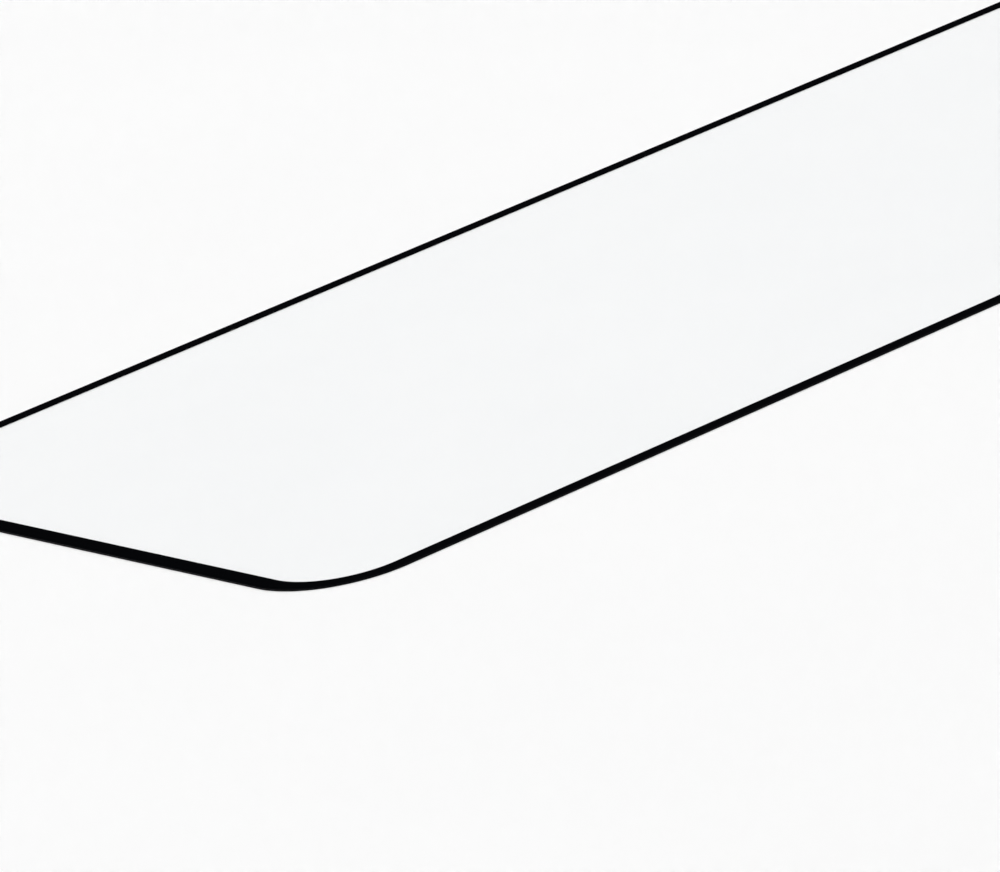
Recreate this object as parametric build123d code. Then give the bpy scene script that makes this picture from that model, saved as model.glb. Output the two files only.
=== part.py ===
from build123d import *
import os

# A phone screen protector, lying flat with its outer face up: a clear glass pane in an opaque black border.
# The origin is the middle of the underside. X runs across the width, Y along the length and Z up.

# Driving dimensions, in millimetres
width = 66.1  # over the border, across the two long sides
length = 141.7  # over the border, from end to end
thickness = 0.1  # of the pane and of the border, which lie flush on both faces
corner_radius = 8.0  # of the border's outside corners, seen from above
side_border = 1.5  # width of the black band along the long sides
end_border = 1.7  # width of the black band along the short ends
top_edge_round = 0.05  # polished round on the outside edge of the top face
bottom_edge_round = 0.02  # eased outside edge of the underside

# The window in the border, which the pane fills: its corners keep the band about as wide as its sides and ends
window_width = width - 2 * side_border
window_length = length - 2 * end_border
window_corner_radius = corner_radius - (side_border + end_border) / 2


def rounded_plate(plate_width, plate_length, plate_corner_radius):
    """A plate of the protector's thickness with rounded corners, standing on the underside's plane."""
    outline = RectangleRounded(plate_width, plate_length, plate_corner_radius)
    return extrude(outline, thickness)


def make_glass_pane():
    """The clear pane, which fills the border's window from face to face."""
    return rounded_plate(window_width, window_length, window_corner_radius)


def make_black_border(pane):
    """The black band around the pane, with the edges of its outside rounded."""
    plate = rounded_plate(width, length, corner_radius)
    top_rim = plate.faces().sort_by(Axis.Z)[-1].edges()
    plate = fillet(top_rim, top_edge_round)
    bottom_rim = plate.faces().sort_by(Axis.Z)[0].edges()
    plate = fillet(bottom_rim, bottom_edge_round)
    return plate - pane


os.makedirs("parts", exist_ok=True)
glass_pane = make_glass_pane()
export_step(glass_pane, "parts/glass_pane.step")
export_step(make_black_border(glass_pane), "parts/black_border.step")
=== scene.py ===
"""Dresses the phone screen protector: the clear pane, its black border and a plain studio around them.

Everything is in metres, in the part's own frame: X across the width, Y along the length, Z up,
with the origin at the middle of the underside.
"""

import logging
import math
from dataclasses import dataclass
from enum import Enum, IntEnum
from typing import Any, Iterable

import bmesh
import bpy
from mathutils import Matrix, Vector


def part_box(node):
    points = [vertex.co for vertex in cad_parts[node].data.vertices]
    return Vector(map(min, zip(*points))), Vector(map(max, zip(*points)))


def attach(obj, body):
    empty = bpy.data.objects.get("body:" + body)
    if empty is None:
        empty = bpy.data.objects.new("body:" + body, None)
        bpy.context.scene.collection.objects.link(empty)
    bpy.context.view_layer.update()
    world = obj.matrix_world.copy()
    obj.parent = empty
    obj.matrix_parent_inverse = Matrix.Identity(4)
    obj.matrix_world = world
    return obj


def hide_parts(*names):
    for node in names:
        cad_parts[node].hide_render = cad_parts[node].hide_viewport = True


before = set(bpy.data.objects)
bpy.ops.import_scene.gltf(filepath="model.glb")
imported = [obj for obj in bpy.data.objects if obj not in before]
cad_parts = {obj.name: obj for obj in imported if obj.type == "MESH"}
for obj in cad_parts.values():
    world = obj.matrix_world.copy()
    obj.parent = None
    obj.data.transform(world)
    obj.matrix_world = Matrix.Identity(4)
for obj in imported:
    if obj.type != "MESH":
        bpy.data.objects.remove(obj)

Color = tuple[float, float, float]
Point = tuple[float, float, float]
Span = tuple[float, float]

MM = 0.001
MICRON = 0.001 * MM
NEARNESS = 1 * MICRON  # two places that are no further apart count as one
CREASE = math.radians(40)  # an edge that turns by more stays sharp
ROUND = 0.5  # a bevel's profile, as an arc
NOISE_SPAN = (0.3, 0.7)  # holds nearly all values of a noise
PHOTO_AZIMUTH = 56.073  # degrees, of the viewpoint, from -Y towards X
BODY = "root"
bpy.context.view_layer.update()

log = logging.getLogger("screen_protector")


class CadNode(str, Enum):
    """The part's CAD nodes."""

    GLASS_PANE = "glass_pane"
    BLACK_BORDER = "black_border"


class Slot(str, Enum):
    """The record's material slots."""

    GLASS = "glass"
    BORDER = "border"


class BorderFace(IntEnum):
    """The kinds of face on the border, by material index."""

    FLAT = 0
    ROUNDED = 1


class NodeGraph:
    """A node tree, with short ways to add nodes and links to it."""

    def __init__(self, tree: bpy.types.NodeTree) -> None:
        """Takes a node tree.

        Args:
            tree: The tree that nodes are added to.
        """
        self.tree = tree

    def add(self, kind: str, **inputs: Any) -> bpy.types.Node:
        """Adds a node.

        Args:
            kind: The node's type name.
            **inputs: Values for its input sockets, by name with underscores for spaces.

        Returns:
            The new node.
        """
        node = self.tree.nodes.new(kind)
        for name, value in inputs.items():
            node.inputs[name.replace("_", " ")].default_value = value
        return node

    def link(self, source: bpy.types.NodeSocket, target: bpy.types.NodeSocket) -> None:
        """Links an output to an input."""
        self.tree.links.new(source, target)

    def ranged(self, value: bpy.types.NodeSocket, span: Span, result: Span) -> bpy.types.NodeSocket:
        """Maps a span of values onto another, with soft ends.

        Args:
            value: The value's socket.
            span: The values at which the result starts and stops changing.
            result: The results there.

        Returns:
            The mapped value's socket.
        """
        mapped = self.add(
            "ShaderNodeMapRange", From_Min=span[0], From_Max=span[1], To_Min=result[0], To_Max=result[1]
        )
        mapped.interpolation_type = "SMOOTHSTEP"
        self.link(value, mapped.inputs["Value"])
        return mapped.outputs["Result"]

    def computed(self, operation: str, *values: bpy.types.NodeSocket | float) -> bpy.types.NodeSocket:
        """Adds a Math node.

        Args:
            operation: What it works out.
            *values: What it works on, each a socket or a number.

        Returns:
            The result's socket.
        """
        node = self.add("ShaderNodeMath")
        node.operation = operation
        for value, target in zip(values, node.inputs):
            if isinstance(value, bpy.types.NodeSocket):
                self.link(value, target)
            else:
                target.default_value = value
        return node.outputs["Value"]


class Surface(NodeGraph):
    """A new material of one Principled shader, with short ways to set it and drive it."""

    def __init__(self, name: str) -> None:
        """Starts the material.

        Args:
            name: The material's name.
        """
        self.material = bpy.data.materials.new(name)
        self.material.use_nodes = True
        super().__init__(self.material.node_tree)
        self.shader = self.tree.nodes["Principled BSDF"]

    def set(self, **inputs: Any) -> None:
        """Sets plain values on the shader's own sockets, by name with underscores for spaces."""
        for name, value in inputs.items():
            self.shader.inputs[name.replace("_", " ")].default_value = value

    def drive(self, name: str, source: bpy.types.NodeSocket) -> None:
        """Links an output to the shader's socket of that name."""
        self.link(source, self.shader.inputs[name])

    def noise(self, grain: float, detail: float = 3.0) -> bpy.types.NodeSocket:
        """Adds a noise in the piece's own frame.

        Args:
            grain: The size of its features, in metres.
            detail: How many finer octaves it has.

        Returns:
            The noise's value socket.
        """
        place = self.add("ShaderNodeTexCoord")
        noise = self.add("ShaderNodeTexNoise", Scale=1 / grain, Detail=detail)
        self.link(place.outputs["Object"], noise.inputs["Vector"])
        return noise.outputs["Fac"]

    def blended(self, noise: bpy.types.NodeSocket, low: Color, high: Color) -> bpy.types.NodeSocket:
        """Maps a noise onto the colours between two.

        Args:
            noise: The noise's value socket.
            low: The colour at the noise's low end.
            high: The colour at its high end.

        Returns:
            The colour's socket.
        """
        ramp = self.add("ShaderNodeValToRGB")
        for stop, position, color in zip(ramp.color_ramp.elements, NOISE_SPAN, (low, high)):
            stop.position = position
            stop.color = (*color, 1)
        self.link(noise, ramp.inputs["Fac"])
        return ramp.outputs["Color"]

    def bump(self, noise: bpy.types.NodeSocket, depth: float) -> None:
        """Raises the surface by a noise.

        Args:
            noise: The noise's value socket.
            depth: The rise where the noise is 1, in metres.
        """
        bump = self.add("ShaderNodeBump", Strength=1.0, Distance=depth)
        self.link(noise, bump.inputs["Height"])
        self.drive("Normal", bump.outputs["Normal"])


@dataclass(frozen=True)
class ClearGlass:
    """Clear polished glass, a breath cooler than white, with the faint haze of a handled sheet."""

    clear: Color = (0.938, 0.949, 0.954)
    hazy: Color = (0.925, 0.938, 0.945)
    refraction: float = 1.5
    haze_size: float = 14 * MM
    haze_roughness: Span = (0.0, 0.03)

    def material(self) -> bpy.types.Material:
        """Makes the glass.

        Returns:
            The finished material.
        """
        surface = Surface("clear_glass")
        surface.set(IOR=self.refraction, Transmission_Weight=1.0)
        haze = surface.noise(self.haze_size)
        surface.drive("Base Color", surface.blended(haze, self.clear, self.hazy))
        surface.drive("Roughness", surface.ranged(haze, NOISE_SPAN, self.haze_roughness))
        return surface.material


@dataclass(frozen=True)
class BlackBand:
    """Opaque black with a fine grain."""

    name: str
    gloss: float
    roughness: Span
    dark: Color = (0.0012, 0.0013, 0.0017)
    pale: Color = (0.0026, 0.0028, 0.0036)
    grain_size: float = 0.12 * MM
    grain_depth: float = 1 * MICRON

    def material(self) -> bpy.types.Material:
        """Makes the black.

        Returns:
            The finished material.
        """
        surface = Surface(self.name)
        surface.set(Specular_IOR_Level=self.gloss)
        grain = surface.noise(self.grain_size)
        surface.drive("Base Color", surface.blended(grain, self.dark, self.pale))
        surface.drive("Roughness", surface.ranged(grain, NOISE_SPAN, self.roughness))
        surface.bump(grain, self.grain_depth)
        return surface.material


@dataclass(frozen=True)
class PaleFloor:
    """A smooth pale studio floor."""

    dark: Color = (0.98, 0.98, 0.98)
    pale: Color = (0.99, 0.99, 0.99)
    mottle_size: float = 40 * MM
    roughness: float = 0.8
    gloss: float = 0.0

    def material(self) -> bpy.types.Material:
        """Makes the floor's finish.

        Returns:
            The finished material.
        """
        surface = Surface("pale_floor")
        surface.set(Roughness=self.roughness, Specular_IOR_Level=self.gloss)
        mottle = surface.noise(self.mottle_size)
        surface.drive("Base Color", surface.blended(mottle, self.dark, self.pale))
        return surface.material


@dataclass(frozen=True)
class RoundedOutline:
    """A rectangle with round corners, seen from above, centred on the origin."""

    width: float
    length: float
    corner_radius: float
    corner_steps: int = 40

    @classmethod
    def of_node(cls, node: CadNode) -> "RoundedOutline":
        """Reads a CAD node's outline: the straight part of its end leaves off where the corners begin.

        Args:
            node: The CAD node.

        Returns:
            Its outline.
        """
        low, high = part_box(node.value)
        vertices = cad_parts[node.value].data.vertices
        end = [abs(v.co.x) for v in vertices if v.co.y > high.y - NEARNESS]
        return cls(high.x - low.x, high.y - low.y, high.x - max(end))

    def grown(self, margin: float) -> "RoundedOutline":
        """Moves the outline outwards.

        Args:
            margin: How far it moves, all round.

        Returns:
            The larger outline.
        """
        return RoundedOutline(
            width=self.width + 2 * margin,
            length=self.length + 2 * margin,
            corner_radius=self.corner_radius + margin,
            corner_steps=self.corner_steps,
        )

    def add_face(self, mesh: bmesh.types.BMesh, height: float) -> bmesh.types.BMFace:
        """Adds the outline to a mesh as one flat face.

        Args:
            mesh: The mesh that it joins.
            height: Its height above the underside.

        Returns:
            The face.
        """
        half_metre = 0.5
        corners = bmesh.ops.create_grid(mesh, x_segments=1, y_segments=1, size=half_metre)["verts"]
        bmesh.ops.scale(mesh, vec=(self.width, self.length, 1), verts=corners)
        bmesh.ops.translate(mesh, vec=(0, 0, height), verts=corners)
        rounded = bmesh.ops.bevel(
            mesh,
            geom=corners,
            offset=self.corner_radius,
            offset_type="OFFSET",
            affect="VERTICES",
            segments=self.corner_steps,
            profile=ROUND,
            material=-1,
        )
        return rounded["verts"][0].link_faces[0]


def raise_faces(mesh: bmesh.types.BMesh, faces: Iterable[bmesh.types.BMFace], height: float) -> None:
    """Extrudes flat faces upwards into a closed solid.

    Args:
        mesh: The mesh that they are in.
        faces: The faces, which stay as the solid's underside.
        height: How far up they go.
    """
    made = bmesh.ops.extrude_face_region(mesh, geom=list(faces))["geom"]
    top = [v for v in made if isinstance(v, bmesh.types.BMVert)]
    bmesh.ops.translate(mesh, vec=(0, 0, height), verts=top)
    bmesh.ops.recalc_face_normals(mesh, faces=mesh.faces)


def finished_piece(
    name: str, mesh: bmesh.types.BMesh, materials: Iterable[bpy.types.Material]
) -> bpy.types.Object:
    """Turns a finished mesh into an object of the scene, smooth but for its creases.

    Args:
        name: The object's name.
        mesh: The finished mesh, which is freed.
        materials: Its finishes, in the order of the faces' material indices.

    Returns:
        The object.
    """
    data = bpy.data.meshes.new(name)
    mesh.to_mesh(data)
    mesh.free()
    for material in materials:
        data.materials.append(material)
    data.shade_smooth()
    data.set_sharp_from_angle(angle=CREASE)
    piece = bpy.data.objects.new(name, data)
    bpy.context.scene.collection.objects.link(piece)
    return piece


def stands_for(piece: bpy.types.Object, node: CadNode) -> None:
    """Puts a piece in its CAD node's place.

    Args:
        piece: The piece.
        node: The CAD node that it replaces.
    """
    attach(piece, BODY)
    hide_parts(node.value)


@dataclass
class GlassPane:
    """The clear pane: a flat plate whose rim is set into the border's window."""

    window: RoundedOutline
    thickness: float
    seat: float = 0.02 * MM
    recess: float = 2 * MICRON
    finish: ClearGlass = ClearGlass()

    def build(self) -> bpy.types.Object:
        """Makes the pane, which lets light through to what lies under it.

        Returns:
            The finished piece.
        """
        mesh = bmesh.new()
        plate = self.window.grown(self.seat).add_face(mesh, self.recess)
        raise_faces(mesh, [plate], self.thickness - 2 * self.recess)
        piece = finished_piece("pane", mesh, [self.finish.material()])
        piece.visible_shadow = False
        piece.visible_diffuse = False
        stands_for(piece, CadNode.GLASS_PANE)
        return piece


@dataclass
class BlackBorder:
    """The black band around the pane, with a polished round along its outside edges."""

    outside: RoundedOutline
    window: RoundedOutline
    thickness: float
    top_round: float = 0.05 * MM
    bottom_round: float = 0.02 * MM
    round_steps: int = 6
    flat_finish: BlackBand = BlackBand("black_band", gloss=0.0, roughness=(0.5, 0.65))
    round_finish: BlackBand = BlackBand("black_polished_edge", gloss=0.045, roughness=(0.22, 0.3))

    def build(self) -> bpy.types.Object:
        """Makes the border.

        Returns:
            The finished piece.
        """
        mesh = bmesh.new()
        rim = mesh.verts.layers.int.new("rim")
        outer = self.outside.add_face(mesh, 0.0)
        for vertex in outer.verts:
            vertex[rim] = True
        inner = self.window.add_face(mesh, 0.0)
        edges = [*outer.edges, *inner.edges]
        bmesh.ops.delete(mesh, geom=[outer, inner], context="FACES_ONLY")
        band = bmesh.ops.bridge_loops(mesh, edges=edges)["faces"]
        raise_faces(mesh, band, self.thickness)
        self.round_rim(mesh, rim, self.thickness, self.top_round)
        self.round_rim(mesh, rim, 0.0, self.bottom_round)
        finishes = {BorderFace.FLAT: self.flat_finish, BorderFace.ROUNDED: self.round_finish}
        piece = finished_piece("border", mesh, [finishes[kind].material() for kind in BorderFace])
        piece.modifiers.new("flat_faces_first", "WEIGHTED_NORMAL").keep_sharp = True
        stands_for(piece, CadNode.BLACK_BORDER)
        return piece

    def round_rim(
        self, mesh: bmesh.types.BMesh, rim: bmesh.types.BMLayerItem, height: float, radius: float
    ) -> None:
        """Rounds the outside edge at one face of the band.

        Args:
            mesh: The band's mesh.
            rim: The layer that marks the vertices of the outside.
            height: The height of the face.
            radius: The round's radius.
        """
        edges = [
            e for e in mesh.edges if all(v[rim] and abs(v.co.z - height) < NEARNESS for v in e.verts)
        ]
        rounded = bmesh.ops.bevel(
            mesh,
            geom=edges,
            offset=radius,
            offset_type="OFFSET",
            affect="EDGES",
            segments=self.round_steps,
            profile=ROUND,
            material=-1,
        )
        for face in rounded["faces"]:
            face.material_index = BorderFace.ROUNDED


@dataclass(frozen=True)
class Softbox:
    """A square studio lamp that points at the object, with its power in watts."""

    name: str
    place: Point
    side: float
    power: float

    def build(self) -> bpy.types.Object:
        """Makes the lamp.

        Returns:
            The lamp's object.
        """
        light = bpy.data.lights.new(self.name, "AREA")
        light.shape = "SQUARE"
        light.size = self.side
        light.energy = self.power
        lamp = bpy.data.objects.new(self.name, light)
        lamp.location = self.place
        lamp.rotation_mode = "QUATERNION"
        lamp.rotation_quaternion = (-Vector(self.place)).to_track_quat("-Z", "Y")
        bpy.context.scene.collection.objects.link(lamp)
        return lamp


@dataclass(frozen=True)
class Surround:
    """Light from all round: soft parallel strips, fainter when low, and an even white panel on one side.

    Angles are in degrees.
    """

    tint: Color = (1, 1, 1)
    white: float = 1.0  # brightness of the panel, and of what the strips fade into
    strips: Span = (0.35, 1.2)  # brightness between them and on them
    feather: Span = (-0.6, 0.6)  # part of the wave across them that is their soft edge
    pitch: float = 1.9  # from one to the next
    turn: float = 60.0  # the way they run, from Y towards X
    strength: Span = (0.2, 1.0)  # of the strips, when low and when high
    low_to_high: Span = (5.0, 40.0)  # above the horizon
    panel_turn: float = PHOTO_AZIMUTH  # the way to the panel's middle, from Y towards -X
    panel_edge: Span = (26.0, 20.0)  # from its middle, where its soft edge begins and ends

    def build(self) -> bpy.types.World:
        """Makes the surround and gives it to the scene.

        Returns:
            The surround's world.
        """
        world = bpy.data.worlds.new("surround")
        world.use_nodes = True
        graph = NodeGraph(world.node_tree)
        share = graph.computed(
            "MULTIPLY", self.strength_by_height(graph), self.share_beside_panel(graph)
        )
        blend = graph.add("ShaderNodeMix", A=self.white)
        graph.link(share, blend.inputs["Factor"])
        graph.link(self.strip_level(graph), blend.inputs["B"])
        background = graph.tree.nodes["Background"]
        background.inputs["Color"].default_value = (*self.tint, 1)
        graph.link(blend.outputs["Result"], background.inputs["Strength"])
        bpy.context.scene.world = world
        return world

    def strength_by_height(self, graph: NodeGraph) -> bpy.types.NodeSocket:
        """Adds the strips' strength, which grows with their height.

        Args:
            graph: The world's nodes.

        Returns:
            The strength's socket.
        """
        rise = self.part_along(graph, (0, 0, 1))
        low, high = (math.sin(math.radians(height)) for height in self.low_to_high)
        return graph.ranged(rise, (low, high), self.strength)

    def share_beside_panel(self, graph: NodeGraph) -> bpy.types.NodeSocket:
        """Adds a share that is 0 on the panel and 1 beside it.

        Args:
            graph: The world's nodes.

        Returns:
            The share's socket.
        """
        turn = math.radians(self.panel_turn)
        nearness = self.part_along(graph, (-math.sin(turn), math.cos(turn), 0))
        outer, inner = (math.cos(math.radians(angle)) for angle in self.panel_edge)
        return graph.ranged(nearness, (outer, inner), (1, 0))

    def strip_level(self, graph: NodeGraph) -> bpy.types.NodeSocket:
        """Adds the strips, which repeat by the angle across them.

        Args:
            graph: The world's nodes.

        Returns:
            The socket of their brightness.
        """
        turn = math.radians(self.turn)
        across = self.part_along(graph, (math.cos(turn), -math.sin(turn), 0))
        angle = graph.computed("MULTIPLY", across, math.tau / math.radians(self.pitch))
        wave = graph.computed("SINE", angle)
        return graph.ranged(wave, self.feather, self.strips)

    @staticmethod
    def part_along(graph: NodeGraph, axis: Point) -> bpy.types.NodeSocket:
        """Adds the part of the direction looked in that lies along an axis.

        Args:
            graph: The world's nodes.
            axis: The axis, one long.

        Returns:
            The part's socket.
        """
        direction = graph.add("ShaderNodeTexCoord")
        part = graph.add("ShaderNodeVectorMath")
        part.operation = "DOT_PRODUCT"
        part.inputs[1].default_value = axis
        graph.link(direction.outputs["Generated"], part.inputs[0])
        return part.outputs["Value"]


@dataclass
class Studio:
    """A pale floor under a soft lamp, with light from all round."""

    floor_side: float = 12.0
    floor_gap: float = 20 * MICRON
    finish: PaleFloor = PaleFloor()
    surround: Surround = Surround()
    lamp: Softbox = Softbox("key", place=(-2.1, -1.5, 3.3), side=2.1, power=41.5)

    def build(self) -> None:
        """Makes the floor, the surround and the lamp."""
        self.lay_floor()
        self.surround.build()
        self.lamp.build()

    def lay_floor(self) -> None:
        """Makes the floor, a hair below the underside."""
        mesh = bmesh.new()
        bmesh.ops.create_grid(mesh, x_segments=1, y_segments=1, size=self.floor_side / 2)
        bmesh.ops.translate(mesh, vec=(0, 0, -self.floor_gap), verts=mesh.verts)
        finished_piece("floor", mesh, [self.finish.material()])


@dataclass(frozen=True)
class PhotoCamera:
    """The photograph's viewpoint: low over a corner, through a long lens.

    Angles are in degrees, and the lens and its sensor in millimetres.
    """

    aim: Point = (16.0 * MM, -40.93 * MM, 0.1 * MM)
    azimuth: float = PHOTO_AZIMUTH
    elevation: float = 16.881
    roll: float = -12.48
    distance: float = 743.5 * MM
    lens: float = 353.3
    sensor: float = 36.0
    nearest: float = 0.01
    furthest: float = 50.0

    def build(self) -> bpy.types.Object:
        """Makes the camera and gives it to the scene.

        Returns:
            The camera's object.
        """
        data = bpy.data.cameras.new("photo_camera")
        data.sensor_fit = "HORIZONTAL"
        data.sensor_width = self.sensor
        data.lens = self.lens
        data.clip_start = self.nearest
        data.clip_end = self.furthest
        turn = math.radians(self.azimuth)
        rise = math.radians(self.elevation)
        back = Vector((math.sin(turn) * math.cos(rise), -math.cos(turn) * math.cos(rise), math.sin(rise)))
        level = (-back).to_track_quat("-Z", "Y").to_matrix()
        rolled = level @ Matrix.Rotation(math.radians(self.roll), 3, "Z")
        camera = bpy.data.objects.new("photo_camera", data)
        camera.matrix_world = Matrix.Translation(Vector(self.aim) + back * self.distance) @ rolled.to_4x4()
        bpy.context.scene.collection.objects.link(camera)
        bpy.context.scene.camera = camera
        return camera


def main() -> None:
    """Builds the protector and the studio around it, and reports each piece."""
    logging.basicConfig(level=logging.INFO)
    bpy.context.scene.view_settings.view_transform = "Standard"
    outside = RoundedOutline.of_node(CadNode.BLACK_BORDER)
    window = RoundedOutline.of_node(CadNode.GLASS_PANE)
    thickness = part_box(CadNode.BLACK_BORDER.value)[1].z
    for assembly in (GlassPane(window, thickness), BlackBorder(outside, window, thickness)):
        piece = assembly.build()
        log.info("%s: %d faces", piece.name, len(piece.data.polygons))
    Studio().build()
    PhotoCamera().build()


if __name__ == "__main__":
    main()
